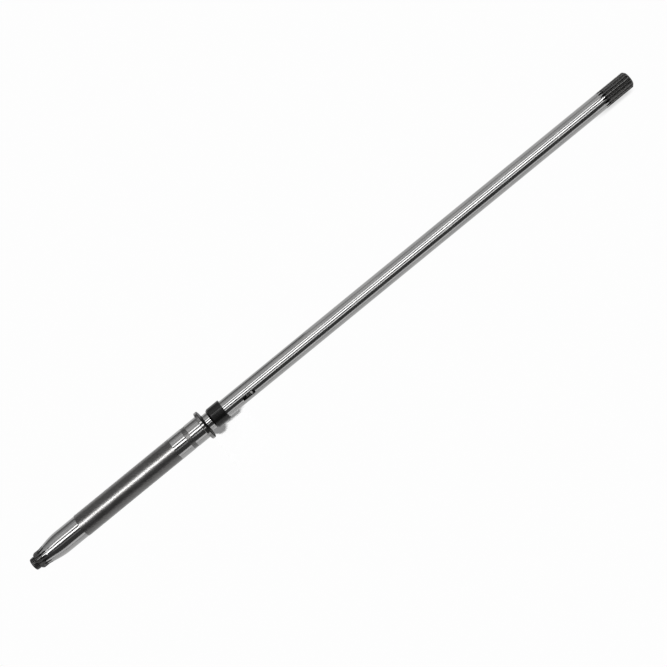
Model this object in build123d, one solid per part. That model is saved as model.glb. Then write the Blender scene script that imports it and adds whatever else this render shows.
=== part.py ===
from build123d import *
from math import acos, cos, degrees, pi, radians, sin, tan
import os

# Vertical drive shaft of an outboard motor, with the sleeve that its housing seals run on.
# All sizes are millimetres and degrees. The shaft lies along X: the pinion end is at -X, the
# engine end at +X. The origin is on the axis, at the shoulder that locates the main bearing.
# Angles about the axis count from +Z towards -Y.

# Thrust flange, forged in one with the shaft
flange_diameter = 38.0
flange_width = 4.5
flange_chamfer = 0.7
flange_root_radius = 2.0

# Ground seats and the rough-turned body on the pinion side of the flange
bearing_seat_diameter = 30.0
bearing_seat_length = 17.0
grinding_relief_width = 1.2
grinding_relief_depth = 0.2
relief_band_diameter = 29.2
relief_band_length = 5.8
second_seat_diameter = 30.0
second_seat_length = 18.7
body_diameter = 29.6
body_length = 142.0
journal_diameter = 29.0
journal_length = 35.8
seat_edge_chamfer = 0.2

# Pinion end: cone, splined land, thread relief and threaded stub for the pinion nut
cone_half_angle = 10.4
cone_blend_radius = 80.0
pinion_land_diameter = 21.4
pinion_land_length = 9.2
pinion_land_chamfer_length = 2.2
pinion_land_chamfer_depth = 1.3
pinion_groove_length = 6.0
pinion_groove_phase = 1.0
thread_diameter = 16.0
thread_length = 5.6
thread_nose_radius = 2.0
thread_relief_diameter = 14.5
thread_relief_width = 1.4

# Long ground bar that carries the water pump and reaches up to the engine
bar_diameter = 22.0
bar_length = 638.9
engine_land_length = 37.5
engine_groove_length = 34.5
engine_groove_phase = 5.2
engine_end_chamfer = 2.5

# Spline teeth, the same on both ends: involute flanks, cut with a hob that runs out in an arc
spline_module = 1.25
spline_teeth = 16
spline_pressure_angle = 30.0
spline_shift = 0.3125
spline_addendum = 0.5625
spline_dedendum = 0.8125
spline_root_rise = 0.25
hob_radius = 20.0
groove_overcut = 0.8

# Half-moon keyseat for the water pump impeller's key
keyseat_distance = 65.4
keyseat_width = 5.0
keyseat_cutter_diameter = 19.0
keyseat_depth = 5.5
keyseat_angle = 31.5

# Centre holes that the shaft was turned and ground between
centre_pilot_diameter = 4.0
centre_pilot_depth = 10.0
centre_mouth_diameter = 8.5
centre_angle = 60.0

# Seal sleeve on the bar, with a lead-in on its flange side
sleeve_distance = 13.0
sleeve_length = 19.3
sleeve_wall = 2.25
sleeve_lead_length = 2.2
sleeve_lead_depth = 1.3
sleeve_edge_chamfer = 0.5
sleeve_bore_clearance = 0.01

# Stations along the axis, from the bearing shoulder at 0 down to the pinion end
seat_end = -bearing_seat_length
band_end = seat_end - relief_band_length
second_seat_end = band_end - second_seat_length
body_end = second_seat_end - body_length
journal_end = body_end - journal_length
cone_rise = (journal_diameter - pinion_land_diameter) / 2
cone_end = journal_end - cone_rise / tan(radians(cone_half_angle))
land_end = cone_end - pinion_land_length
relief_end = land_end - thread_relief_width
pinion_end = relief_end - thread_length

# Stations along the axis, up to the engine end
engine_end = flange_width + bar_length
engine_land_start = engine_end - engine_land_length

# Radii of the spline
pitch_radius = spline_module * spline_teeth / 2
base_radius = pitch_radius * cos(radians(spline_pressure_angle))
tip_radius = pitch_radius + spline_shift + spline_addendum
root_radius = pitch_radius + spline_shift - spline_dedendum


def turned(outline):
    """Solid of revolution about X. The outline is (x, radius, rounding) corners, in order."""
    corners = [(x, radius) for x, radius, rounding in outline]
    roundings = [rounding for x, radius, rounding in outline]
    profile = make_face(FilletPolyline(*corners, radius=roundings, close=True))
    return revolve(profile, Axis.X)


def shaft_blank():
    """The whole shaft as it leaves the lathe and the grinder, before splines and keyseat."""
    seat = bearing_seat_diameter / 2
    band = relief_band_diameter / 2
    second_seat = second_seat_diameter / 2
    body = body_diameter / 2
    journal = journal_diameter / 2
    land = pinion_land_diameter / 2
    thread = thread_diameter / 2
    thread_relief = thread_relief_diameter / 2
    flange = flange_diameter / 2
    bar = bar_diameter / 2
    relief = seat - grinding_relief_depth
    edge = seat_edge_chamfer
    return turned(
        [
            (pinion_end, 0, 0),
            (pinion_end, thread, thread_nose_radius),
            (relief_end, thread, 0),
            (relief_end, thread_relief, 0),
            (land_end, thread_relief, 0),
            (land_end, land - pinion_land_chamfer_depth, 0),
            (land_end + pinion_land_chamfer_length, land, 0),
            (cone_end, land, 0),
            (journal_end, journal, cone_blend_radius),
            (body_end, journal, 0),
            (body_end, body - edge, 0),
            (body_end + edge, body, 0),
            (second_seat_end, body, 0),
            (second_seat_end, second_seat, 0),
            (band_end - edge, second_seat, 0),
            (band_end, second_seat - edge, 0),
            (band_end, band, 0),
            (seat_end, band, 0),
            (seat_end, seat - edge, 0),
            (seat_end + edge, seat, 0),
            (-grinding_relief_width, seat, 0),
            (-grinding_relief_width, relief, 0),
            (grinding_relief_depth, relief, 0),
            (0, seat + grinding_relief_depth, 0),
            (0, flange - flange_chamfer, 0),
            (flange_chamfer, flange, 0),
            (flange_width - flange_chamfer, flange, 0),
            (flange_width, flange - flange_chamfer, 0),
            (flange_width, bar, flange_root_radius),
            (engine_land_start, bar, 0),
            (engine_land_start, tip_radius, 0),
            (engine_end - engine_end_chamfer, tip_radius, 0),
            (engine_end, tip_radius - engine_end_chamfer, 0),
            (engine_end, 0, 0),
        ]
    )


def involute(angle):
    """Involute function of a pressure angle in radians."""
    return tan(angle) - angle


def groove_flank(radius):
    """Point (across, radius) on the groove's flank, on the involute of the base circle."""
    tooth = pi * spline_module / 2 + 2 * spline_shift * tan(radians(spline_pressure_angle))
    space = pi * spline_module - tooth
    unwound = involute(acos(base_radius / radius)) - involute(radians(spline_pressure_angle))
    half_angle = space / (2 * pitch_radius) + unwound
    return radius * sin(half_angle), radius * cos(half_angle)


def groove_section(reach):
    """Face of one spline groove, from its rounded root out to the radius named reach."""
    foot = root_radius + spline_root_rise
    flank = [groove_flank(radius) for radius in (foot, (foot + reach) / 2, reach)]
    opposite = [(-across, radius) for across, radius in flank]
    outline = Curve() + [
        Spline(*flank),
        Spline(*opposite),
        ThreePointArc(flank[0], (0, root_radius), opposite[0]),
        Line(flank[-1], opposite[-1]),
    ]
    return make_face(outline)


def groove_cutter(length, end_radius):
    """One groove that is full depth over length towards -X from 0, then follows the hob's arc
    towards +X, up through a surface of end_radius."""
    reach = end_radius + groove_overcut
    section = Plane.YZ * groove_section(reach)
    straight = extrude(section, -length)
    hob_axis = Axis((0, 0, root_radius + hob_radius), (0, -1, 0))
    climb = degrees(acos(1 - (reach - root_radius) / hob_radius))
    return straight + revolve(section, hob_axis, climb)


def around(cutter, count, phase):
    """Copies of the cutter, evenly spaced about X, the first turned by phase."""
    return [Rot(X=phase + copy * 360 / count) * cutter for copy in range(count)]


def pinion_grooves():
    """Grooves of the pinion spline, cut from the thread side and running out into the cone."""
    full_depth_end = land_end + pinion_groove_length
    through = pinion_groove_length + thread_relief_width / 2
    cutter = Pos(X=full_depth_end) * groove_cutter(through, journal_diameter / 2)
    return around(cutter, spline_teeth, pinion_groove_phase)


def engine_grooves():
    """Grooves of the engine spline, cut from the end of the bar and running out into it."""
    through = engine_groove_length + groove_overcut
    cutter = mirror(groove_cutter(through, bar_diameter / 2), Plane.YZ)
    placed = Pos(X=engine_end - engine_groove_length) * cutter
    return around(placed, spline_teeth, engine_groove_phase)


def keyseat_cutter():
    """Disc of the half-moon cutter, sunk into the bar at the keyseat's angle."""
    cutter_radius = keyseat_cutter_diameter / 2
    height = bar_diameter / 2 - keyseat_depth + cutter_radius
    disc = Rot(X=90) * Cylinder(cutter_radius, keyseat_width)
    return Rot(X=keyseat_angle) * Pos(keyseat_distance, 0, height) * disc


def centre_hole(end, inward):
    """Centre hole in the face at x = end, drilled in the direction inward, +1 or -1."""
    mouth = centre_mouth_diameter / 2
    pilot = centre_pilot_diameter / 2
    slope = tan(radians(centre_angle / 2))
    mouth_depth = (mouth - pilot) / slope
    return turned(
        [
            (end, 0, 0),
            (end, mouth, 0),
            (end + inward * mouth_depth, pilot, 0),
            (end + inward * centre_pilot_depth, pilot, 0),
            (end + inward * (centre_pilot_depth + pilot * slope), 0, 0),
        ]
    )


def drive_shaft():
    """The finished steel shaft."""
    cuts = pinion_grooves() + engine_grooves()
    cuts += [keyseat_cutter(), centre_hole(pinion_end, 1), centre_hole(engine_end, -1)]
    return shaft_blank() - cuts


def seal_sleeve():
    """Black sleeve on the bar, slid down to just above the flange."""
    bore = bar_diameter / 2 + sleeve_bore_clearance
    outside = bar_diameter / 2 + sleeve_wall
    start = sleeve_distance
    end = sleeve_distance + sleeve_length
    return turned(
        [
            (start, bore, 0),
            (start, outside - sleeve_lead_depth, 0),
            (start + sleeve_lead_length, outside, 0),
            (end - sleeve_edge_chamfer, outside, 0),
            (end, outside - sleeve_edge_chamfer, 0),
            (end, bore, 0),
        ]
    )


os.makedirs("parts", exist_ok=True)
export_step(drive_shaft(), "parts/drive_shaft.step")
export_step(seal_sleeve(), "parts/seal_sleeve.step")
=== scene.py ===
# %% [markdown]
# # The drive shaft of a large outboard motor
# A drive shaft takes the engine's torque down the leg of the motor to the pinion gear. It is one
# steel forging, turned on a lathe, splined at both ends, and ground bright where bearings, seals
# and the pinion sit. A black sleeve for the housing's seals is pushed on above the flange.
# The packed CAD model gives the true sizes and the true place of both pieces. This lesson keeps
# them and adds what CAD leaves plain: finely divided surfaces that reflect without facets, the
# thread for the pinion nut, and the finishes of the steel.

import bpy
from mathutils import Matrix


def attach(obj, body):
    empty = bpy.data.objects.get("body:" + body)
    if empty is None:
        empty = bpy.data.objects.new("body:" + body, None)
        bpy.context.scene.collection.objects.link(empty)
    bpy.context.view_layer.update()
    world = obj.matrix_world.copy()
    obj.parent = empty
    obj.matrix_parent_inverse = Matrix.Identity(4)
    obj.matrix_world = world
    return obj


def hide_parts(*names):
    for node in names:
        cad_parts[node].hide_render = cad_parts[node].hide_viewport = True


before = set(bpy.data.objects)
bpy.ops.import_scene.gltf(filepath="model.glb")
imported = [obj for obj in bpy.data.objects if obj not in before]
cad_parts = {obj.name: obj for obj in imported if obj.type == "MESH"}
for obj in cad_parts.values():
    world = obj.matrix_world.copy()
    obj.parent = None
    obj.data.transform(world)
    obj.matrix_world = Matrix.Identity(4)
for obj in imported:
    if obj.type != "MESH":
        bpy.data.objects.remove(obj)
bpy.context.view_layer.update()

# %% [markdown]
# ## The camera
# The shaft was photographed from straight above, lying aslant in the frame. Widths shrink a
# little from the flange to the engine end, and that change gives the camera's distance, about
# two metres. A camera can be aimed with a constraint, but this one looks straight down, so its
# place and one turn about the vertical are enough. The turn lets the shaft climb to the upper
# right at 39 degrees.

# %% Camera
import math
import bpy

CAMERA_PLACE = (0.187, -0.01235, 1.93)
SHAFT_CLIMB = math.radians(39.26)
SENSOR_WIDTH = 36
FOCAL_LENGTH = 89

camera_data = bpy.data.cameras.new("camera")
camera_data.sensor_width = SENSOR_WIDTH
camera_data.lens = FOCAL_LENGTH
camera = bpy.data.objects.new("camera", camera_data)
camera.location = CAMERA_PLACE
camera.rotation_euler = (0, 0, -SHAFT_CLIMB)
bpy.context.scene.collection.objects.link(camera)
bpy.context.scene.camera = camera
print("camera", tuple(camera.location), "lens", camera_data.lens)

# %% [markdown]
# ## Stations and radii
# A turned part is its outline swept round an axis, so a few stations along X and the radii
# between them say almost everything about it. They are the CAD model's own, in millimetres. The
# origin is at the bearing shoulder, the stations run from the pinion end up to the engine end,
# and each radius stands for one ground or turned length. Blender works in metres, so two factors
# go between the units.

# %% Stations and radii, in millimetres
METRE = 1000
MM = 1 / METRE

PINION_END = -256.2
THREAD_END = -250.6
LAND_START = -249.2
CONE_START = -239.9953
JOURNAL_START = -219.3
BODY_START = -183.5
SECOND_SEAT_START = -41.5
BAND_START = -22.8
SEAT_START = -17.0
FLANGE_END = 4.5
ENGINE_LAND = 605.9
ENGINE_END = 643.4

THREAD_R = 8.0
THREAD_RELIEF_R = 7.25
LAND_FACE_R = 9.4
PINION_LAND_R = 10.7
JOURNAL_R = 14.5
BODY_R = 14.8
BAND_R = 14.6
SEAT_R = 15.0
FLANGE_R = 19.0
BAR_R = 11.0
ENGINE_LAND_R = 10.875
print("length overall:", round(ENGINE_END - PINION_END, 1), "mm")

# %% [markdown]
# ## Centre holes
# A long shaft is turned and ground between two centres, so each end has a hole with a cone of 60
# degrees and a pilot at its bottom. It could be cut with a boolean, but it is turned too, so it
# simply becomes the first or last stretch of the outline.

# %% Corners of a centre hole
CENTRE_MOUTH_R = 4.25
CENTRE_PILOT_R = 2.0
CENTRE_DEPTH = 10.0
CENTRE_SLOPE = math.tan(math.radians(30))
MOUTH_DEPTH = (CENTRE_MOUTH_R - CENTRE_PILOT_R) / CENTRE_SLOPE
EDGE = 0.1


def centre_hole(end, inward):
    """Corners of the centre hole in the end face, from the drill's tip out to its mouth."""
    return [
        (end + inward * (CENTRE_DEPTH + CENTRE_PILOT_R * CENTRE_SLOPE), 0, 0),
        (end + inward * CENTRE_DEPTH, CENTRE_PILOT_R, 0),
        (end + inward * MOUTH_DEPTH, CENTRE_PILOT_R, 0),
        (end, CENTRE_MOUTH_R, EDGE),
    ]


print("cone of the centre hole:", round(MOUTH_DEPTH, 2), "mm deep")

# %% [markdown]
# ## Corners of the pinion end
# Each corner is a station, a radius and a rounding. The large roundings are the lathe's and the
# grinding wheel's, such as the stub's nose and the long blend from the cone into the journal. All
# other edges get a rounding of a tenth or two, because no real edge is perfectly sharp and only a
# rounded one catches the light.

# %% Corners of the pinion end
NOSE_ROUNDING = 2
RELIEF_ROUNDING = 0.3
LAND_CHAMFER = 2.2
CONE_BLEND = 80
SOFT_EDGE = 0.2

nose_corners = [
    (PINION_END, CENTRE_MOUTH_R, 0),
    (PINION_END, THREAD_R, NOSE_ROUNDING),
    (THREAD_END, THREAD_R, 0),
]
pinion_corners = [
    (THREAD_END, THREAD_RELIEF_R, RELIEF_ROUNDING),
    (LAND_START, THREAD_RELIEF_R, RELIEF_ROUNDING),
    (LAND_START, LAND_FACE_R, EDGE),
    (LAND_START + LAND_CHAMFER, PINION_LAND_R, SOFT_EDGE),
    (CONE_START, PINION_LAND_R, 0),
    (JOURNAL_START, JOURNAL_R, CONE_BLEND),
]
print(len(nose_corners) + len(pinion_corners), "corners at the pinion end")

# %% [markdown]
# ## Corners of the body and the bearing seats
# The seats are ground, and the body and the band between them are turned a little smaller, so a
# bearing slides over them freely. At the shoulder a relief of 0.2 mm lets the edge of the
# grinding wheel run out. Steps this small could be left to a material, but real steps give real
# edges, and it is the edges that catch the light.

# %% Corners of the body and the seats
SEAT_CHAMFER = 0.2
RELIEF_WIDTH = 1.2
RELIEF_DEPTH = 0.2

body_corners = [
    (BODY_START, JOURNAL_R, EDGE),
    (BODY_START, BODY_R - SEAT_CHAMFER, 0),
    (BODY_START + SEAT_CHAMFER, BODY_R, EDGE),
    (SECOND_SEAT_START, BODY_R, EDGE / 2),
    (SECOND_SEAT_START, SEAT_R, EDGE),
    (BAND_START - SEAT_CHAMFER, SEAT_R, EDGE),
    (BAND_START, SEAT_R - SEAT_CHAMFER, EDGE),
    (BAND_START, BAND_R, EDGE),
    (SEAT_START, BAND_R, EDGE),
    (SEAT_START, SEAT_R - SEAT_CHAMFER, EDGE),
    (SEAT_START + SEAT_CHAMFER, SEAT_R, EDGE),
    (-RELIEF_WIDTH, SEAT_R, EDGE),
    (-RELIEF_WIDTH, SEAT_R - RELIEF_DEPTH, EDGE / 2),
    (RELIEF_DEPTH, SEAT_R - RELIEF_DEPTH, EDGE / 2),
    (0, SEAT_R + RELIEF_DEPTH, EDGE / 2),
]
print(len(body_corners), "corners at the body and the seats")

# %% [markdown]
# ## Corners of the flange and the engine end
# The flange has a chamfer on both sides and a root of 2 mm towards the bar, where a sharp corner
# would crack. Then nothing happens for 600 mm. The next corner turns nothing: it marks where the
# grooves of the engine spline begin, so that the plain bar before it can stay coarse.

# %% Corners of the flange and the engine end
FLANGE_CHAMFER = 0.7
FLANGE_ROOT = 2
GROOVES_BEGIN = 601.25
ENGINE_CHAMFER = 2.5

flange_corners = [
    (0, FLANGE_R - FLANGE_CHAMFER, SOFT_EDGE),
    (FLANGE_CHAMFER, FLANGE_R, SOFT_EDGE),
    (FLANGE_END - FLANGE_CHAMFER, FLANGE_R, SOFT_EDGE),
    (FLANGE_END, FLANGE_R - FLANGE_CHAMFER, SOFT_EDGE),
    (FLANGE_END, BAR_R, FLANGE_ROOT),
]
engine_corners = [
    (GROOVES_BEGIN, BAR_R, 0),
    (ENGINE_LAND, BAR_R, EDGE / 2),
    (ENGINE_LAND, ENGINE_LAND_R, EDGE / 2),
    (ENGINE_END - ENGINE_CHAMFER, ENGINE_LAND_R, SOFT_EDGE),
    (ENGINE_END, ENGINE_LAND_R - ENGINE_CHAMFER, SOFT_EDGE),
]
shaft_corners = pinion_corners + body_corners + flange_corners + engine_corners
shaft_corners += centre_hole(ENGINE_END, -1)[::-1]
print(len(nose_corners) + len(shaft_corners), "corners in the outline")

# %% [markdown]
# ## Rounding the corners
# Each rounding becomes a few short chords along its arc. A bevel modifier could round the
# finished mesh, but it can't give the cone a blend of 80 mm and the edge beside it a tenth. So
# the arc is worked out on the outline: its centre lies on the line that halves the corner, and
# its points are spread evenly from where it leaves one side to where it meets the other.

# %% Rounding
import numpy as np

SMALL_ROUNDING = 0.4
TURN_PER_CHORD = math.radians(11)
TURN_PER_SMALL_CHORD = math.radians(45)
LONGEST_CHORD = 1.8


def unit(vector):
    """The vector with a length of 1."""
    return vector / np.hypot(*vector)


def rounded(corners):
    """The outline with every rounding replaced by points on its arc."""
    points = []
    for number, (x, radius, rounding) in enumerate(corners):
        here = np.array([x, radius], float)
        if not rounding:
            points.append(here)
            continue
        back = unit(np.array(corners[number - 1][:2], float) - here)
        ahead = unit(np.array(corners[number + 1][:2], float) - here)
        turn = math.pi - math.acos(np.clip(back @ ahead, -1, 1))
        reach = rounding * math.tan(turn / 2)
        middle = here + unit(back + ahead) * rounding / math.cos(turn / 2)
        start = here + back * reach - middle
        end = here + ahead * reach - middle
        turn_per_chord = TURN_PER_SMALL_CHORD if rounding < SMALL_ROUNDING else TURN_PER_CHORD
        chords = math.ceil(max(turn / turn_per_chord, turn * rounding / LONGEST_CHORD))
        for share in np.linspace(0, 1, chords + 1):
            spoke = start * math.sin((1 - share) * turn) + end * math.sin(share * turn)
            points.append(middle + spoke / math.sin(turn))
    return points


nose_outline = np.array(rounded(nose_corners)[1:])
print("the stub's nose is", len(nose_outline), "points")

# %% [markdown]
# ## The spline grooves
# Both splines are cut by a hob, so the side of each tooth is an involute, the curve that the end
# of a string draws as it unwinds from a circle. The bottom of the groove is rounded. Where the
# hob leaves the steel, the groove rises along the hob's own arc and runs out. All of this could
# be cut with a boolean for each groove, but the polished bar would then reflect in slivers. Here
# the surface is worked out instead: at a given station and angle, its radius is the smaller of
# the outline's radius and the groove's.

# %% One groove at full depth, seen along the shaft
TEETH = 16
PITCH_ANGLE = 360 / TEETH
PRESSURE_ANGLE = math.radians(30)
PITCH_R = 10.0
BASE_R = PITCH_R * math.cos(PRESSURE_ANGLE)
ROOT_R = 9.5
FOOT_R = 9.75
HALF_SPACE = 0.8014 / PITCH_R
BOTTOM_POINTS = 12
SIDE_POINTS = 40


def involute(angle):
    """Involute function of a pressure angle in radians."""
    return np.tan(angle) - angle


def groove_curve():
    """Across and height of points from the groove's bottom up one side, in millimetres."""
    radius = np.linspace(FOOT_R, JOURNAL_R, SIDE_POINTS)
    unwound = involute(np.arccos(BASE_R / radius))
    half_angle = HALF_SPACE + unwound - involute(PRESSURE_ANGLE)
    side = np.array([radius * np.sin(half_angle), radius * np.cos(half_angle)])
    foot_across, foot_height = side[:, 0]
    rise = foot_height - ROOT_R
    arc_r = (foot_across**2 + rise**2) / (2 * rise)
    across = np.linspace(0, foot_across, BOTTOM_POINTS)[:-1]
    bottom = np.array([across, ROOT_R + arc_r - np.sqrt(arc_r**2 - across**2)])
    return np.hstack([bottom, side])


GROOVE = groove_curve()
foot_width = 2 * GROOVE[0][BOTTOM_POINTS - 1]
print("groove at full depth:", round(foot_width, 2), "mm wide at its foot")

# %% [markdown]
# ## Where the hob leaves the steel
# Past the end of full depth the same curve is lifted along the circle that the hob's edge draws.
# The groove gets shallower and narrower by itself, and ends in the pointed tongues that show at
# both splines.

# %% The groove at any station
HOB_R = 20.0
LONGEST_RUN_OUT = 12.0
PINION_FULL_DEPTH = -243.2
ENGINE_FULL_DEPTH = 608.9
TINY = 1e-6


def groove_at(x):
    """Angle from the groove's middle and radius of its surface at station x, in degrees and
    millimetres, or None where the hob has not cut."""
    past = max(0, x - PINION_FULL_DEPTH) if x < 0 else max(0, ENGINE_FULL_DEPTH - x)
    if past > LONGEST_RUN_OUT:
        return None
    across, height = GROOVE
    hob_axis = ROOT_R + HOB_R
    height = hob_axis - np.sqrt(np.maximum((hob_axis - height) ** 2 - past**2, TINY))
    return np.degrees(np.arctan2(across, height)), np.hypot(across, height)


shallow_root = groove_at(ENGINE_LAND)[1][0]
print("groove at the land's start:", round(ENGINE_LAND_R - shallow_root, 2), "mm deep")

# %% [markdown]
# ## Points within one tooth pitch
# Every ring has the same number of points, so neighbouring rings join into tidy quads. Within one
# tooth pitch thirteen points follow the groove and five the land between grooves. On the plain
# bar they are evenly spaced. Towards a spline they slide, so that one always lies on the groove's
# edge.

# %% Points within one tooth pitch
GROOVE_SHARES = np.array([-1, -0.93, -0.72, -0.49, -0.38, -0.2, 0, 0.2, 0.38, 0.49, 0.72, 0.93, 1])
LAND_SHARES = np.array([0.06, 0.28, 0.5, 0.72, 0.94])
POINTS_PER_PITCH = len(GROOVE_SHARES) + len(LAND_SHARES)
POINTS = POINTS_PER_PITCH * TEETH
EVEN = (np.arange(POINTS_PER_PITCH) - len(GROOVE_SHARES) // 2) * PITCH_ANGLE / POINTS_PER_PITCH
SLIDES = [
    (THREAD_END, 0),
    (LAND_START, 1),
    (-232, 1),
    (-222, 0),
    (590, 0),
    (600, 1),
    (ENGINE_END - 1.1, 1),
    (ENGINE_END, 0),
]
print("points in a ring:", POINTS)

# %% [markdown]
# ## A ring of the shaft
# A ring follows the turned outline, or the groove where that lies deeper. The two splines don't
# start at the same angle, so the rings between them turn slowly from one to the other. The edge
# of each tooth is broken a little, as the edges of the outline are.

# %% A ring of the shaft
PINION_PHASE = 1.0
ENGINE_PHASE = 5.2
PHASE_TURNS = (BODY_START, 500)
NARROWEST = 0.8
BROKEN_EDGE = 0.12
SLIDE_LEAST_R = ENGINE_LAND_R - 2.6


def phase_at(x):
    """Angle of the first groove, which turns slowly from one spline's phase to the other's."""
    return np.interp(x, PHASE_TURNS, [PINION_PHASE, ENGINE_PHASE])


def ring(x, blank):
    """Angles and radii of the ring at station x, where the turned outline's radius is blank."""
    groove = groove_at(x) if blank > ROOT_R else None
    edge = 0
    if groove is not None:
        edge = np.interp(blank, groove[1], groove[0], left=0)
    slide = np.interp(x, *zip(*SLIDES)) if blank > SLIDE_LEAST_R else 0
    half = max(edge, NARROWEST)
    land = half + LAND_SHARES * (PITCH_ANGLE - 2 * half)
    followed = np.concatenate([GROOVE_SHARES * half, land])
    offsets = EVEN + (followed - EVEN) * slide
    radii = np.full(POINTS_PER_PITCH, float(blank))
    if groove is not None:
        folded = np.abs((offsets + PITCH_ANGLE / 2) % PITCH_ANGLE - PITCH_ANGLE / 2)
        cut = np.interp(folded, *groove)
        overlap = np.maximum(BROKEN_EDGE - np.abs(cut - blank), 0)
        radii = np.minimum(blank, cut) - overlap**2 / (4 * BROKEN_EDGE) * (edge > NARROWEST)
    angles = np.add.outer(np.arange(TEETH) * PITCH_ANGLE, offsets).ravel() + phase_at(x)
    return angles, np.tile(radii, TEETH)


def placed(x, angles, radii):
    """Points in metres. Angles count from +Z towards -Y, as they do in the CAD model."""
    turn = np.radians(angles)
    xs = np.broadcast_to(x, np.shape(radii))
    return np.stack([xs, -radii * np.sin(turn), radii * np.cos(turn)], -1) * MM


tooth_radii = ring(ENGINE_FULL_DEPTH, ENGINE_LAND_R)[1]
print("teeth from", round(min(tooth_radii), 2), "to", round(max(tooth_radii), 2), "mm in radius")

# %% [markdown]
# ## The thread for the pinion nut
# The stub at the lower end carries a nut thread, M16 with a pitch of 1.5 mm. A screw modifier
# could sweep its section, but the ends would have to be trimmed. Here the points follow the
# helix: the ring is drawn out along X by one pitch in a full turn, so crests and roots stay
# crisp. There are a few rows too many. Points that would lie past either end of the thread are
# held at the end, where they fall together and are merged later.

# %% Thread surface
THREAD_PITCH = 1.5
THREAD_DEPTH = 0.68
THREAD_LOW = PINION_END + 0.45
ROOT_HALF = 0.22
CREST_HALF = 0.15
FLANK_STATIONS = [0, ROOT_HALF, THREAD_PITCH / 2 - CREST_HALF, THREAD_PITCH / 2]
FLANK_RADII = [THREAD_R - THREAD_DEPTH] * 2 + [THREAD_R] * 2
THREAD_KEYS = np.array([-0.65, -0.6, -0.42, -0.25, -0.2, 0.2, 0.25, 0.42, 0.6, 0.65])
TURNS_BEFORE = 2
TURNS_AFTER = 3


def thread_radius(x, angles):
    """Radius of the threaded stub: the helix, cut off by the rounded nose."""
    along = (x - angles / 360 * THREAD_PITCH) % THREAD_PITCH
    from_root = np.minimum(along, THREAD_PITCH - along)
    flank = np.interp(from_root, FLANK_STATIONS, FLANK_RADII)
    return np.minimum(flank, np.interp(x, *nose_outline.T))


def thread_points():
    """Rings of points drawn out along the helix."""
    angles = np.add.outer(np.arange(TEETH) * PITCH_ANGLE, EVEN).ravel() + PINION_PHASE
    advance = angles / 360 * THREAD_PITCH
    first = THREAD_LOW - THREAD_PITCH - advance[0]
    base = math.floor(first / THREAD_PITCH) * THREAD_PITCH
    turns = math.ceil((THREAD_END - THREAD_LOW) / THREAD_PITCH) + TURNS_AFTER
    keys = [THREAD_KEYS + turn * THREAD_PITCH for turn in range(-TURNS_BEFORE, turns)]
    rows = []
    for key in np.concatenate(keys) + base:
        x = np.clip(key + advance, THREAD_LOW, THREAD_END)
        rows.append(placed(x, angles, thread_radius(x, angles)))
    return np.array(rows)


thread_rows = thread_points()
print("thread:", len(thread_rows), "rows of", POINTS, "points")

# %% [markdown]
# ## Dividing the runs
# The outline is still a few long runs. Subdividing the finished mesh would divide all of it
# alike, and the triangles are wanted where the form changes: coarse on the plain bar, fine where
# a groove runs out, because there each ring has its own shape. So a run is halved, and halved
# again, until it is as short as its station asks. A point close to each end keeps the shading
# straight up to the corner.

# %% Divided outline
HOLD = 0.08
PLAIN_RUN = 20
# Each zone is its start, its end and its longest run.
RUNS = [
    (LAND_START, PINION_FULL_DEPTH - 3, 0.35),
    (ENGINE_END - 2.6, ENGINE_END, 0.35),
    (PINION_FULL_DEPTH, -232.5, 0.5),
    (601, ENGINE_FULL_DEPTH, 0.5),
    (PINION_END, JOURNAL_START, 3),
    (590, ENGINE_END, 3),
]


def longest_run(x):
    """Longest run of the outline at station x, in millimetres."""
    asked = [longest for start, end, longest in RUNS if start <= x <= end]
    return min(asked, default=PLAIN_RUN)


def halved(before, after, longest):
    """Points after before, up to after, so close together as longest(x) asks at both ends."""
    if np.hypot(*(after - before)) <= max(longest(before[0]), longest(after[0])):
        return [after]
    middle = (before + after) / 2
    return halved(before, middle, longest) + halved(middle, after, longest)


def divided(points, longest):
    """The outline with its long runs halved and halved again."""
    result = [points[0]]
    for before, after in zip(points, points[1:]):
        length = np.hypot(*(after - before))
        if length > LONGEST_CHORD:
            inward = (after - before) / length * HOLD
            result += [before + inward] + halved(before + inward, after - inward, longest)
            result.append(after)
        else:
            result += halved(before, after, longest)
    return np.array(result)


thread_shoulder = (THREAD_END, THREAD_R, 0)
shaft_outline = divided(rounded([thread_shoulder] + shaft_corners)[1:], longest_run)
print(len(shaft_outline), "rings from the thread to the engine end")

# %% [markdown]
# ## One skin over everything
# Rows of points are joined into quads, the thread's rows one pitch further on at the seam, and
# points that fall together are merged. Building the mesh from its points keeps full control of
# every ring, which no modifier would. What comes out is one closed surface, as the real shaft is
# one piece of steel, and the number of open edges is printed to prove it.

# %% Joining rows into a skin
import bmesh

MERGE_DISTANCE = 2e-7
SHORTEST_EDGE = 1e-7


def joined(points, rows, seam):
    """Quads between the rows of points. At the seam a row joins the one that lies seam rows on."""
    number = np.arange(len(points)).reshape(rows, -1)
    ahead = np.roll(number, -1, axis=1)
    if seam:
        ahead[:-seam, -1] = number[seam:, 0]
        ahead[-seam:, -1] = number[-1, 0]
    quads = np.stack([number[:-1], ahead[:-1], ahead[1:], number[1:]], -1)
    return quads.reshape(-1, 4)


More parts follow.
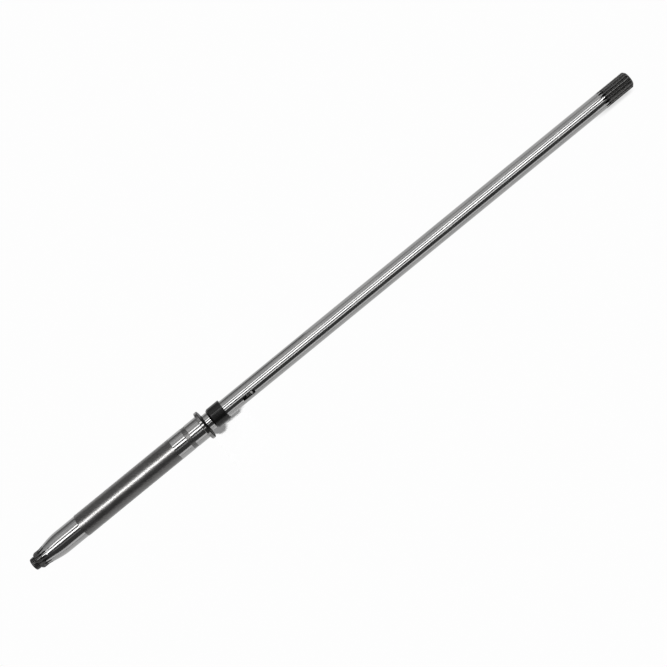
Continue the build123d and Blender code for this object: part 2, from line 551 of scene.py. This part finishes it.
def skinned(name, bands):
    """Mesh object from bands, which are (rows of points, seam) in order along the surface."""
    vertices = []
    faces = []
    for rows, seam in bands:
        points = rows.reshape(-1, 3)
        faces += (joined(points, len(rows), seam) + sum(map(len, vertices))).tolist()
        vertices.append(points)
    mesh = bpy.data.meshes.new(name)
    mesh.from_pydata(np.concatenate(vertices).tolist(), [], faces)
    surface = bmesh.new()
    surface.from_mesh(mesh)
    bmesh.ops.remove_doubles(surface, verts=surface.verts, dist=MERGE_DISTANCE)
    bmesh.ops.dissolve_degenerate(surface, edges=surface.edges, dist=SHORTEST_EDGE)
    bmesh.ops.recalc_face_normals(surface, faces=surface.faces)
    open_edges = sum(not edge.is_manifold for edge in surface.edges)
    surface.to_mesh(mesh)
    surface.free()
    piece = bpy.data.objects.new(name, mesh)
    bpy.context.scene.collection.objects.link(piece)
    print(name, len(mesh.polygons), "faces,", open_edges, "open edges")
    return piece


# %% [markdown]
# ## The shaft
# The skin has three bands: the centre hole and the nose up to the thread, the thread, and all the
# rest up to the other centre hole. Neighbouring bands share a row, so they join without a gap.

# %% Skin of the shaft
def rings_of(points):
    """The rings of points for a piece of the outline."""
    return np.array([placed(x, *ring(x, radius)) for x, radius in points])


nose = rounded(centre_hole(PINION_END, 1) + nose_corners[1:])
nose = [point for point in nose if point[0] < THREAD_LOW or point[1] < THREAD_R / 2]
nose_band = np.concatenate([rings_of(nose), thread_rows[:1]])
shaft_band = np.concatenate([thread_rows[-1:], rings_of(shaft_outline)])
shaft = skinned(
    "shaft_steelwork",
    [(nose_band, 0), (thread_rows, len(THREAD_KEYS)), (shaft_band, 0)],
)

# %% [markdown]
# ## The half-moon keyseat
# The pump impeller is driven by a half-moon key, and its seat is sunk into the bar with a disc
# cutter. The pocket has upright walls that no ring of points can follow, so here a boolean is the
# right tool: a disc with many sides is taken away from the skin, as the cutter does it.

# %% The cutter's disc
from mathutils import Euler, Matrix

KEYSEAT_X = 65.4
KEYSEAT_WIDTH = 5.0
KEYSEAT_DEPTH = 5.5
KEYSEAT_ANGLE = math.radians(31.5)
CUTTER_R = 9.5
CUTTER_SIDES = 180


def keyseat_cutter():
    """The cutter's disc in the place where it leaves the keyseat."""
    height = BAR_R - KEYSEAT_DEPTH + CUTTER_R
    place = (KEYSEAT_X, -height * math.sin(KEYSEAT_ANGLE), height * math.cos(KEYSEAT_ANGLE))
    turned_over = Euler((KEYSEAT_ANGLE + math.pi / 2, 0, 0)).to_matrix().to_4x4()
    surface = bmesh.new()
    bmesh.ops.create_cone(
        surface,
        cap_ends=True,
        segments=CUTTER_SIDES,
        radius1=CUTTER_R,
        radius2=CUTTER_R,
        depth=KEYSEAT_WIDTH,
        matrix=Matrix.Scale(MM, 4) @ Matrix.Translation(place) @ turned_over,
    )
    mesh = bpy.data.meshes.new("keyseat_cutter")
    surface.to_mesh(mesh)
    surface.free()
    piece = bpy.data.objects.new("keyseat_cutter", mesh)
    bpy.context.scene.collection.objects.link(piece)
    return piece


disc = keyseat_cutter()
print("disc of", len(disc.data.polygons), "faces at", KEYSEAT_X, "mm")

# %% [markdown]
# ## Cutting the keyseat
# A boolean modifier could stay on the shaft and would be worked out at each render. Here its
# result replaces the mesh for good, so that each face can be given its finish later, and the
# disc is deleted.

# %% Cutting the keyseat
def cut(piece, tool):
    """Takes the tool away from the piece for good, and deletes the tool."""
    modifier = piece.modifiers.new("cut", "BOOLEAN")
    modifier.operation = "DIFFERENCE"
    modifier.solver = "EXACT"
    modifier.object = tool
    bpy.context.view_layer.update()
    evaluated = piece.evaluated_get(bpy.context.evaluated_depsgraph_get())
    mesh = bpy.data.meshes.new_from_object(evaluated)
    piece.modifiers.clear()
    piece.data = mesh
    bpy.data.objects.remove(tool)


cut(shaft, disc)
print("faces with the keyseat:", len(shaft.data.polygons))

# %% [markdown]
# ## The seal sleeve
# The housing's shaft seals run on a black sleeve above the flange. It is a ring with a long
# lead-in on the flange side, so that the seals' lips slide on, and a small chamfer on the other.
# A cylinder with bevels could stand for it, but the helpers of the shaft make it more exactly: a
# closed outline, rounded and divided, and swept round the axis.

# %% Sleeve
SLEEVE_START = 13.0
SLEEVE_END = 32.3
SLEEVE_R = 13.25
SLEEVE_BORE_R = 11.01
LEAD_IN_LENGTH = 2.2
LEAD_IN_DEPTH = 1.3
LEAD_IN_EDGE = 0.25
LEAD_IN_BLEND = 0.5
SLEEVE_CHAMFER = 0.5
SLEEVE_RUN = 2.5
SLEEVE_POINTS = 192

sleeve_corners = [
    (SLEEVE_START, SLEEVE_BORE_R, 0),
    (SLEEVE_START, SLEEVE_R - LEAD_IN_DEPTH, LEAD_IN_EDGE),
    (SLEEVE_START + LEAD_IN_LENGTH, SLEEVE_R, LEAD_IN_BLEND),
    (SLEEVE_END - SLEEVE_CHAMFER, SLEEVE_R, SOFT_EDGE),
    (SLEEVE_END, SLEEVE_R - SLEEVE_CHAMFER, SOFT_EDGE),
    (SLEEVE_END, SLEEVE_BORE_R, 0),
]
sleeve_outline = divided(rounded(sleeve_corners + sleeve_corners[:1]), lambda x: SLEEVE_RUN)
sleeve_angles = np.arange(SLEEVE_POINTS) * 360 / SLEEVE_POINTS
sleeve_rows = np.array(
    [placed(x, sleeve_angles, np.full(SLEEVE_POINTS, radius)) for x, radius in sleeve_outline]
)
sleeve = skinned("seal_sleeve_ring", [(sleeve_rows, 0)])

# %% [markdown]
# ## Signals
# A finish is a material whose colour, roughness and fine relief come from formulas. Its nodes
# could be drawn one by one in the shader editor, but a formula is easier to read and to change.
# So one socket is wrapped in a class that knows the arithmetic operators, and each operator adds
# the Math node that it stands for.

# %% Signal
class Signal:
    """One socket of a finish, so that shader maths reads like Python."""

    def __init__(self, finish, socket):
        self.finish = finish
        self.socket = socket

    def maths(self, operation, *values):
        """A Math node on those values."""
        return self.finish.node("ShaderNodeMath", {"operation": operation}, dict(enumerate(values)))

    def __add__(self, other):
        return self.maths("ADD", self, other)

    def __sub__(self, other):
        return self.maths("SUBTRACT", self, other)

    def __rsub__(self, other):
        return self.maths("SUBTRACT", other, self)

    def __mul__(self, other):
        return self.maths("MULTIPLY", self, other)

    def __pow__(self, other):
        return self.maths("POWER", self, other)

    __radd__ = __add__
    __rmul__ = __mul__

    def wave(self):
        """The sine of the signal."""
        return self.maths("SINE", self)

    def rising(self, low, high):
        """0 below low, 1 above high, and smooth between."""
        settings = {"interpolation_type": "SMOOTHSTEP"}
        return self.finish.node("ShaderNodeMapRange", settings, {0: self, 1: low, 2: high})

    def between(self, rise, fall):
        """1 between two soft edges, each given by its low and high end, and 0 outside."""
        return self.rising(*rise) * (1 - self.rising(*fall))


print("Signal:", Signal.__doc__)

# %% [markdown]
# ## Finishes
# Every finish starts from the place on the piece in millimetres: the station along the axis, and
# the radius from it. That is what a lathe and a grinder go by, so their marks can be written down
# with it, and a generated or unwrapped texture would only hide where they are. One method makes
# any other node, from its type, its settings and its sockets.

# %% Finish
FILTER_WIDTH = 0.02


class Finish:
    """A material with its Principled shader and the place on the piece in millimetres."""

    def __init__(self, name, constants):
        self.material = bpy.data.materials.new(name)
        self.material.use_nodes = True
        self.tree = self.material.node_tree
        self.shader = self.tree.nodes["Principled BSDF"]
        for socket, value in constants.items():
            self.shader.inputs[socket].default_value = value
        metres = self.node("ShaderNodeTexCoord", {}, {}, "Object")
        sockets = {0: metres, "Scale": METRE}
        place = self.node("ShaderNodeVectorMath", {"operation": "SCALE"}, sockets)
        self.x = self.node("ShaderNodeSeparateXYZ", {}, {0: place}, "X")
        self.y = self.node("ShaderNodeSeparateXYZ", {}, {0: place}, "Y")
        self.z = self.node("ShaderNodeSeparateXYZ", {}, {0: place}, "Z")
        self.radius = (self.y * self.y + self.z * self.z) ** 0.5

    def __str__(self):
        return f"{self.material.name}: {len(self.tree.nodes)} nodes"

    def node(self, kind, settings, sockets, output=0):
        """Adds a node, with its settings first and then its sockets, and gives one output."""
        made = self.tree.nodes.new(kind)
        for setting, value in settings.items():
            setattr(made, setting, value)
        for socket, value in sockets.items():
            if isinstance(value, Signal):
                self.tree.links.new(value.socket, made.inputs[socket])
            else:
                made.inputs[socket].default_value = value
        return Signal(self, made.outputs[output])

    def noise(self, along, across, detail=2.0):
        """Noise from 0 to 1 with so many features in a millimetre along the axis and across it."""
        sockets = {0: self.x * along, 1: self.y * across, 2: self.z * across}
        stretched = self.node("ShaderNodeCombineXYZ", {}, sockets)
        sockets = {"Vector": stretched, "Scale": 1.0, "Detail": detail}
        return self.node("ShaderNodeTexNoise", {}, sockets)

    def feed_marks(self, count):
        """Marks of a lathe tool, so many in a millimetre: ramps that climb from 0 to 1 along X,
        hollow like the tool's tip."""
        marks = self.x * count
        return marks.maths("FRACT", marks) ** 1.5

    def band(self, start, end, edge=0.5):
        """1 between two stations of the shaft, and 0 elsewhere."""
        return self.x.rising(start - edge, start + edge) - self.x.rising(end - edge, end + edge)

    def mix(self, share, first, second):
        """Colour between two colours, which a Mix node takes at sockets 6 and 7."""
        sockets = {0: share, 6: first, 7: second}
        return self.node("ShaderNodeMix", {"data_type": "RGBA"}, sockets, 2)

    def feed(self, socket, signal):
        """Links the signal to that socket of the shader."""
        self.tree.links.new(signal.socket, self.shader.inputs[socket])

    def relief(self, height, millimetres):
        """Fine relief from a height of 0 to 1 that stands for so many millimetres."""
        sockets = {"Height": height, "Distance": millimetres * MM, "Filter Width": FILTER_WIDTH}
        self.feed("Normal", self.node("ShaderNodeBump", {}, sockets))


def grey(level, warmth=0.0):
    """Colour with that linear level, a little warmer or cooler."""
    return (level * (1 + warmth), level, level * (1 - warmth), 1)


print("Finish:", Finish.__doc__)

# %% [markdown]
# ## Ground steel
# The bar, the cone and the bearing seats are ground between centres, and the surface is nearly a
# mirror. The wheel leaves very fine lines round the shaft, which go into the relief, with a
# slight waviness, and a little into the roughness. Faint bands, and patches where the wheel dwelt
# on the long bar, are rougher too. One roughness for all of it would be simpler, but each light
# would show as a ruled line, and on real steel it is broken and blurred here and there.

# %% Ground steel
LONG_BAR_FROM = (30, 60)

ground = Finish("ground_steel", {"Metallic": 1.0})
wheel_lines = ground.noise(5, 0.05)
wheel_bands = ground.noise(0.25, 0.08, 3)
wheel_dwell = ground.noise(0.05, 0.02).rising(0.45, 0.62) * ground.x.rising(*LONG_BAR_FROM)
waviness = ground.noise(0.06, 0.2)
tarnish = ground.noise(0.03, 0.15, 4).rising(0.3, 0.7)
ground.feed("Base Color", ground.mix(tarnish, grey(0.28), grey(0.32, 0.01)))
ground.feed("Roughness", 0.08 + 0.04 * wheel_bands + 0.04 * wheel_lines + 0.06 * wheel_dwell)
ground.relief(2 * wheel_lines + 7 * waviness, 0.0006)
print(ground)

# %% [markdown]
# ## Turned steel
# The long body and the band between the bearing seats are left as turned and heat treated:
# darker, a little brown and duller. The tool leaves four feed marks in a millimetre, each a small
# ramp that climbs along the shaft. They could be faked with a rougher surface, but ramps do
# more: they spread a distant light along the shaft into one long bright streak, as on the real
# body. In the narrow band the marks are half as deep.

# %% Turned steel
MARKS_PER_MILLIMETRE = 4
MARK_DEPTH = 0.074

turned = Finish("turned_steel", {"Metallic": 0.97})
patches = turned.noise(0.06, 0.12, 5)
turned_colour = turned.mix(patches.rising(0.3, 0.7), grey(0.12, 0.02), grey(0.14, 0.01))
turned.feed("Base Color", turned_colour)
turned.feed("Roughness", 0.27 + 0.06 * patches)
shallow = 0.5 * turned.band(BAND_START, SEAT_START)
turned.relief(turned.feed_marks(MARKS_PER_MILLIMETRE) * (1 - shallow), MARK_DEPTH)
print(turned)

# %% [markdown]
# ## Spline steel
# The teeth are hobbed and not ground, so they stay dark from the heat treatment. Only their tops
# are rubbed lighter, which a mask on the radius picks out without painting a single tooth. Where
# the grooves run out, the grooves are painted almost black and the tops are left unlightened. This
# is painted shade in these hollows, and it also dims the glints of the lights there.

# %% Spline steel
PINION_RUN_OUTS = (CONE_START, -230)
ENGINE_RUN_OUTS = (600, ENGINE_LAND)
PINION_RUN_OUT_SHADE = (-243, -230)
ENGINE_RUN_OUT_SHADE = (600, 609)
TOOTH_TOPS = (10.5, 10.7)

spline = Finish("spline_steel", {"Metallic": 1.0})
hob_marks = spline.noise(1.2, 1.5, 3)
# painted shade: at the run-outs the tops stay dark and the grooves are painted almost black
run_outs = spline.band(*PINION_RUN_OUTS, 0.05) + spline.band(*ENGINE_RUN_OUTS, 0.05)
run_out_painted_shade = spline.band(*PINION_RUN_OUT_SHADE) + spline.band(*ENGINE_RUN_OUT_SHADE)
tooth_tops = spline.radius.rising(*TOOTH_TOPS) * (0.6 + 0.4 * hob_marks) * (1 - run_outs)
groove_colour = spline.mix(run_out_painted_shade, grey(0.045, 0.02), grey(0.008, 0.02))
spline.feed("Base Color", spline.mix(tooth_tops, groove_colour, grey(0.1, 0.01)))
spline.feed("Roughness", 0.34 - 0.06 * tooth_tops + 0.06 * hob_marks)
spline.relief(hob_marks, 0.003)
print(spline)

# %% [markdown]
# ## Blackened steel, and painted shade at the flange's root
# The threaded stub is almost black from the heat treatment's scale, with a film of oil. Its crests
# and its nose are rubbed lighter. The engine-side chamfer and the root of the flange get the same
# black as painted shade, for the dark that falls in that corner, so the rubbing is kept to the
# pinion side of the shoulder. Faint rings by the radius are the marks of the tool that faced the
# end.

# %% Blackened steel, and painted shade at the flange's root
RUBBED_R = (7.5, 8.0)
SHOULDER_FADE = (-10, 0)
RING_RATE = 15

blackened_and_root_shade = Finish("blackened_steel_and_root_shade", {"Metallic": 0.9})
grain = blackened_and_root_shade.noise(1.5, 1.5, 4)
# painted shade: the flange's root stays black, because the rubbing fades out before the shoulder
on_stub = 1 - blackened_and_root_shade.x.rising(*SHOULDER_FADE)
rubbed = blackened_and_root_shade.radius.rising(*RUBBED_R) * (0.5 + 0.5 * grain) * on_stub
blackened_and_root_shade.feed("Base Color", blackened_and_root_shade.mix(rubbed, grey(0.018, 0.02), grey(0.17, 0.01)))
blackened_and_root_shade.feed("Roughness", 0.42 - 0.1 * rubbed + 0.1 * grain)
blackened_and_root_shade.relief(grain + 0.25 * (blackened_and_root_shade.radius * RING_RATE).wave(), 0.005)
print(blackened_and_root_shade)

# %% [markdown]
# ## Flange steel
# The thrust flange is turned all over and then smooth enough to mirror the lights. Its faces keep
# the tool's rings, and its rim is rubbed brighter and smoother by the parts that were slid over
# it. A second material for the rim would need a hard edge, and a mask on the radius gives the
# soft one that wear leaves.

# %% Flange steel
RIM_R = (18.5, 18.9)

flange_finish = Finish("flange_steel", {"Metallic": 1.0})
face_marks = flange_finish.noise(3, 0.6, 3)
rim = flange_finish.radius.rising(*RIM_R)
flange_colour = flange_finish.mix(0.5 * face_marks + 0.5 * rim, grey(0.11, 0.01), grey(0.22, 0.01))
flange_finish.feed("Base Color", flange_colour)
flange_finish.feed("Roughness", 0.1 + 0.05 * face_marks - 0.04 * rim)
flange_finish.relief(face_marks + 2 * (flange_finish.radius * RING_RATE).wave(), 0.0005)
print(flange_finish)

# %% [markdown]
# ## Milled steel
# The floor and walls of the keyseat and the centre holes keep the cutters' marks and some oil,
# so they are darker than the ground bar and half bright. The marks have no one direction in such
# small pockets, so an even noise is enough.

# %% Milled steel
milled = Finish("milled_steel", {"Metallic": 1.0})
cutter_marks = milled.noise(2.5, 2.5, 3)
milled.feed("Base Color", milled.mix(cutter_marks, grey(0.1, 0.01), grey(0.22, 0.01)))
milled.feed("Roughness", 0.2 + 0.1 * cutter_marks)
milled.relief(cutter_marks, 0.004)
print(milled)

# %% [markdown]
# ## Black sleeve
# The sleeve is satin black: it swallows most light and shows the lights only as a soft sheen. A
# black that is fully matt would lose its form. So the colour stays very dark, and a low specular
# level with a middling roughness gives the sheen, uneven where hands and seals have been.

# %% Black sleeve
satin_black = Finish("sleeve_black", {"Metallic": 0.0, "Specular IOR Level": 0.3})
handling = satin_black.noise(0.4, 0.4, 4)
satin_black.feed("Base Color", satin_black.mix(handling, grey(0.004), grey(0.008)))
satin_black.feed("Roughness", 0.21 + 0.08 * handling)
satin_black.relief(satin_black.noise(3, 0.2), 0.002)
print(satin_black)

# %% [markdown]
# ## Which finish goes where
# On the real shaft a finish ends at a station, where the wheel or the tool stopped. Painting
# masks in one large material could do it too, but a finish for each face is simpler and keeps
# the ends sharp. A face takes its finish from its station, and a hair more or less decides which
# finish the upright wall of a step gets. Faces that lie below the turned outline, in the grooves
# and in the keyseat, take the finish of the cutter that made them.

# %% Finishes on the faces
HAIR = 0.01
# Each zone is its end and its finish, from the pinion end on.
ZONES = [
    (LAND_START + 2 * HAIR, blackened_and_root_shade),
    (CONE_START, spline),
    (BODY_START + HAIR, ground),
    (SECOND_SEAT_START + HAIR, turned),
    (BAND_START, ground),
    (SEAT_START + HAIR, turned),
    (-HAIR, ground),
    (FLANGE_END - FLANGE_CHAMFER, flange_finish),
    # painted shade: the flange's engine-side chamfer and root take the black finish for the dark in
    # that corner
    (FLANGE_END + FLANGE_ROOT, blackened_and_root_shade),
    (ENGINE_LAND - HAIR, ground),
    (ENGINE_END + 1, spline),
]
FINISHES = [ground, turned, spline, blackened_and_root_shade, flange_finish, milled]
BELOW_OUTLINE = 0.014
PINION_GROOVES_END = -228
ENGINE_GROOVES_START = 598
LEAST_GROOVE_R = ROOT_R - 0.2


def finish_faces(mesh):
    """Gives every face of the shaft the number of its finish."""
    centres = np.empty(len(mesh.polygons) * 3)
    mesh.polygons.foreach_get("center", centres)
    x, y, z = centres.reshape(-1, 3).T * METRE
    radius = np.hypot(y, z)
    zone = np.searchsorted([end for end, finish in ZONES], x)
    number = np.array([FINISHES.index(finish) for end, finish in ZONES])[zone]
    turned_outline = shaft_outline[shaft_outline[:, 1] > THREAD_R]
    below = radius < np.interp(x, *turned_outline.T) - BELOW_OUTLINE
    splined = ((LAND_START < x) & (x < PINION_GROOVES_END)) | (x > ENGINE_GROOVES_START)
    number[below & splined & (radius > LEAST_GROOVE_R)] = FINISHES.index(spline)
    number[below & (np.abs(x - KEYSEAT_X) < CUTTER_R)] = FINISHES.index(milled)
    number[radius < CENTRE_MOUTH_R + EDGE] = FINISHES.index(milled)
    mesh.polygons.foreach_set("material_index", number.astype(np.int32))
    return np.bincount(number)


for finish in FINISHES:
    shaft.data.materials.append(finish.material)
sleeve.data.materials.append(satin_black.material)
print("faces by finish:", finish_faces(shaft.data))

# %% [markdown]
# ## Smooth shading
# Flat quads would show as facets in polished steel. Smooth shading blends the light across them,
# but it would also smear it round real corners, so edges where faces meet at more than 32
# degrees stay sharp.

# %% Smooth shading
SHARPEST = math.radians(32)

for piece in (shaft, sleeve):
    piece.data.polygons.foreach_set("use_smooth", np.ones(len(piece.data.polygons), bool))
    piece.data.set_sharp_from_angle(angle=SHARPEST)
    piece.data.update()
    print(piece.name, "smooth up to", round(math.degrees(SHARPEST)), "degrees")

# %% [markdown]
# ## Paper for the floor
# The shaft lies on white paper that is so bright that it hardly shows a shadow. Strong light on
# white paper would do that too, but with noise and with an uneven fall, so most of the paper simply
# glows. Two places differ. Beside the flange the paper glows less and is lit like any other, so the
# flange and the sleeve throw a real shadow there. And below the engine end the glow is made a
# little weaker: a painted shadow that stands for the soft shade under the spline.

# %% Paper
GLOW = 0.985
GLOW_IN_PATCH = 0.2
PAPER_COLOUR = 0.75
PATCH_ALONG = ((-6, -1), (38, 50))
PATCH_ACROSS = ((3, 9), (50, 90))
PAINTED_END_SHADE = 0.3
PAINTED_SHADE_ALONG = ((575, 610), (628, 642))
PAINTED_SHADE_ACROSS = ((5, 8), (12, 16.5))

paper = Finish("pale_paper", {"Roughness": 0.9, "Specular IOR Level": 0, "Emission Strength": 1})
lower_side = 0 - paper.y
lit_patch = lower_side.between(*PATCH_ACROSS) * paper.x.between(*PATCH_ALONG)
# painted shadow: below the engine end the paper's glow is weakened to stand for the shade under the
# spline
painted_end_shade = PAINTED_END_SHADE * lower_side.between(*PAINTED_SHADE_ACROSS) * paper.x.between(*PAINTED_SHADE_ALONG)
paper.feed("Base Color", paper.mix(lit_patch, grey(0), grey(PAPER_COLOUR)))
glow = paper.mix(lit_patch, grey(GLOW), grey(GLOW_IN_PATCH))
paper.feed("Emission Color", paper.mix(painted_end_shade, glow, grey(0)))
print(paper)

# %% [markdown]
# ## The floor
# The shaft rests on the rim of its flange and on its engine end, so the floor leans by less than
# a degree under it. Turning the shaft instead would take it off the CAD model's place, so the
# floor is the one to lean. It is one large quad, turned about the flange's rim.

# %% Floor
FLANGE_TOUCH = (FLANGE_END - FLANGE_CHAMFER, -FLANGE_R)
END_TOUCH = (ENGINE_END - ENGINE_CHAMFER, -ENGINE_LAND_R)
FLOOR_HALF = 8.0
CORNER_SIDES = [(-1, -1), (1, -1), (1, 1), (-1, 1)]
ONE_FACE = [(0, 1, 2, 3)]


def flat_piece(name, points, faces, finish):
    """A piece of the stage with flat faces, in that finish."""
    mesh = bpy.data.meshes.new(name)
    mesh.from_pydata(points, [], faces)
    mesh.materials.append(finish.material)
    piece = bpy.data.objects.new(name, mesh)
    bpy.context.scene.collection.objects.link(piece)
    return piece


floor_corners = [(FLOOR_HALF * x, FLOOR_HALF * y, 0) for x, y in CORNER_SIDES]
floor_slope = math.atan2(END_TOUCH[1] - FLANGE_TOUCH[1], END_TOUCH[0] - FLANGE_TOUCH[0])
floor = flat_piece("floor", floor_corners, ONE_FACE, paper)
floor.location = (FLANGE_TOUCH[0] * MM, 0, FLANGE_TOUCH[1] * MM)
floor.rotation_euler = (0, -floor_slope, 0)
print("floor leans", round(math.degrees(floor_slope), 2), "degrees")

# %% [markdown]
# ## Backdrop and grey card
# Seen from the side, the shaft needs a white background too, so four walls of the same paper
# stand round the floor. Only the camera sees them, because a bright wall would fill the dark
# lines that give the steel its form. The grey card is the opposite: only reflections see it. It
# lies on the floor to the upper left and tones down the white that the bar would mirror there,
# as a photographer lays a card beside polished metal.

# %% Backdrop and grey card
WALL_FOOT = -0.1
CARD_CORNERS = [(-0.6, 0.062), (1, 0.062), (1, 1.2), (-0.6, 1.2)]
CARD_HEIGHT = -0.017
CARD_GLOW = 0.29


def hide_from(piece, *rays):
    """Hides the piece from those kinds of rays."""
    for ray in rays:
        setattr(piece, "visible_" + ray, False)


foot = [(x, y, WALL_FOOT) for x, y, z in floor_corners]
head = [(x, y, FLOOR_HALF) for x, y, z in floor_corners]
sides = [(side, (side + 1) % 4, (side + 1) % 4 + 4, side + 4) for side in range(4)]
walls = flat_piece("backdrop", foot + head, sides, paper)
hide_from(walls, "glossy", "diffuse", "shadow")

grey_card = Finish(
    "grey_card",
    {
        "Base Color": grey(0),
        "Roughness": 1.0,
        "Specular IOR Level": 0,
        "Emission Color": grey(CARD_GLOW),
        "Emission Strength": 1,
    },
)
card_corners = [(x, y, CARD_HEIGHT) for x, y in CARD_CORNERS]
card = flat_piece("grey_card", card_corners, ONE_FACE, grey_card)
hide_from(card, "camera", "diffuse", "shadow")
print(len(sides), "walls, and", grey_card)

# %% [markdown]
# ## Who gets which light
# Bar, body and sleeve mirror the same room, but each shows its own bright lines, and the floor
# needs a light that the steel must not see. Moving one lamp to suit all of them is hopeless.
# Light linking solves it: a light shines only on the pieces in its collection.

# %% Collections for the lights
def lit_together(name, *pieces):
    """Collection of the pieces that a light shines on."""
    collection = bpy.data.collections.new(name)
    for piece in pieces:
        collection.objects.link(piece)
    return collection


both_pieces = lit_together("both_pieces", shaft, sleeve)
shaft_only = lit_together("shaft_only", shaft)
sleeve_only = lit_together("sleeve_only", sleeve)
floor_only = lit_together("floor_only", floor)
print("lit together:", [collection.name for collection in bpy.data.collections])

# %% [markdown]
# ## Strip lights
# Long strips hang beside each other, parallel to the shaft: a round bar mirrors each of them as
# one thin bright line. Where the line lies is set by the strip's tilt from the vertical, how
# wide it is by the angle that the strip covers, and how bright by its radiance. Ends matter too:
# a strip that stops short leaves the cone or the body without its line. Three wide panels lower
# down fill the flanks, and the dark between them gives the black line along the bar. Area lights
# do this without noise, where glowing meshes would need more samples.

# %% Strip lights
STRIP_DISTANCE = 2.2
# Each strip is its name, tilt, width, radiance, start, end and the pieces that it lights.
STRIPS = [
    ("strip_overhead", 8.5, 10, 6.1, -2.0, 1.25, shaft_only),
    ("strip_upper_left", 32.75, 11.5, 3.65, -1.62, 1.25, both_pieces),
    ("strip_lower_right", -18, 9, 0.3, -1.6, 1.25, both_pieces),
    ("strip_over_bar", -17, 9, 2.2, -0.2, 1.25, shaft_only),
    ("strip_on_sleeve", 8, 38, 0.85, -0.2, 1.25, sleeve_only),
    ("panel_upper_left", 56, 24, 0.85, -1.6, 2.0, both_pieces),
    ("panel_low_left", 77, 22, 0.55, -1.6, 2.0, both_pieces),
    ("panel_low_right", -76, 22, 1.15, -1.6, 2.0, both_pieces),
]


def strip_light(name, tilt, width, radiance, start, end, receivers):
    """Strip from start to end in metres. Tilt is its direction from the vertical towards +Y and
    width the angle that it covers, both in degrees as seen from the shaft."""
    turn = math.radians(tilt)
    data = bpy.data.lights.new(name, "AREA")
    data.shape = "RECTANGLE"
    data.size = end - start
    data.size_y = 2 * STRIP_DISTANCE * math.tan(math.radians(width / 2))
    data.energy = radiance * math.pi * data.size * data.size_y
    light = bpy.data.objects.new(name, data)
    height = STRIP_DISTANCE * math.cos(turn)
    light.location = ((start + end) / 2, STRIP_DISTANCE * math.sin(turn), height)
    light.rotation_euler = (-turn, 0, 0)
    light.visible_camera = False
    light.light_linking.receiver_collection = receivers
    bpy.context.scene.collection.objects.link(light)


for strip in STRIPS:
    strip_light(*strip)
print(len(STRIPS), "strips and panels")

# %% [markdown]
# ## Two distant lights and a dark room
# The feed marks of the body need light from one direction, aslant from the pinion side, so that
# each ramp mirrors it and the streak appears. A distant light keeps that direction over the
# whole length, which a lamp nearby can't. A second one shines on the floor alone and throws the
# shadow beside the flange. The room itself is nearly dark, because polished steel is as dark as
# what it mirrors. The Standard view keeps the whites of the paper white.

# %% Distant lights and the room
from mathutils import Vector

ROOM = 0.09
FEED_MARK_DIRECTION = (-0.72, 0.195, 0.72)
FLOOR_DIRECTION = (-0.53, 0.08, 1)


def far_light(name, direction, angle, energy, receivers):
    """Light from far away in that direction, as wide as that angle in degrees."""
    data = bpy.data.lights.new(name, "SUN")
    data.energy = energy
    data.angle = math.radians(angle)
    light = bpy.data.objects.new(name, data)
    light.rotation_euler = Vector(direction).to_track_quat("Z", "Y").to_euler()
    light.light_linking.receiver_collection = receivers
    bpy.context.scene.collection.objects.link(light)


far_light("light_on_feed_marks", FEED_MARK_DIRECTION, 14, 1.9, shaft_only)
far_light("light_on_floor", FLOOR_DIRECTION, 8, 3.4, floor_only)
world = bpy.data.worlds.new("dark_room")
world.use_nodes = True
world.node_tree.nodes["Background"].inputs["Color"].default_value = grey(ROOM)
bpy.context.scene.world = world
bpy.context.scene.view_settings.view_transform = "Standard"
print("lights in all:", len(bpy.data.lights))

# %% [markdown]
# ## Attaching the pieces
# Both pieces ride on the part's only body and stand for their CAD nodes, which are hidden. The
# dressed part must stay inside the CAD model's box.

PIECES = [
    (shaft, "drive_shaft", "shaft_steel"),
    (sleeve, "seal_sleeve", "sleeve_black"),
]
for piece, node, slot in PIECES:
    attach(piece, "root")
    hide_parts(node)
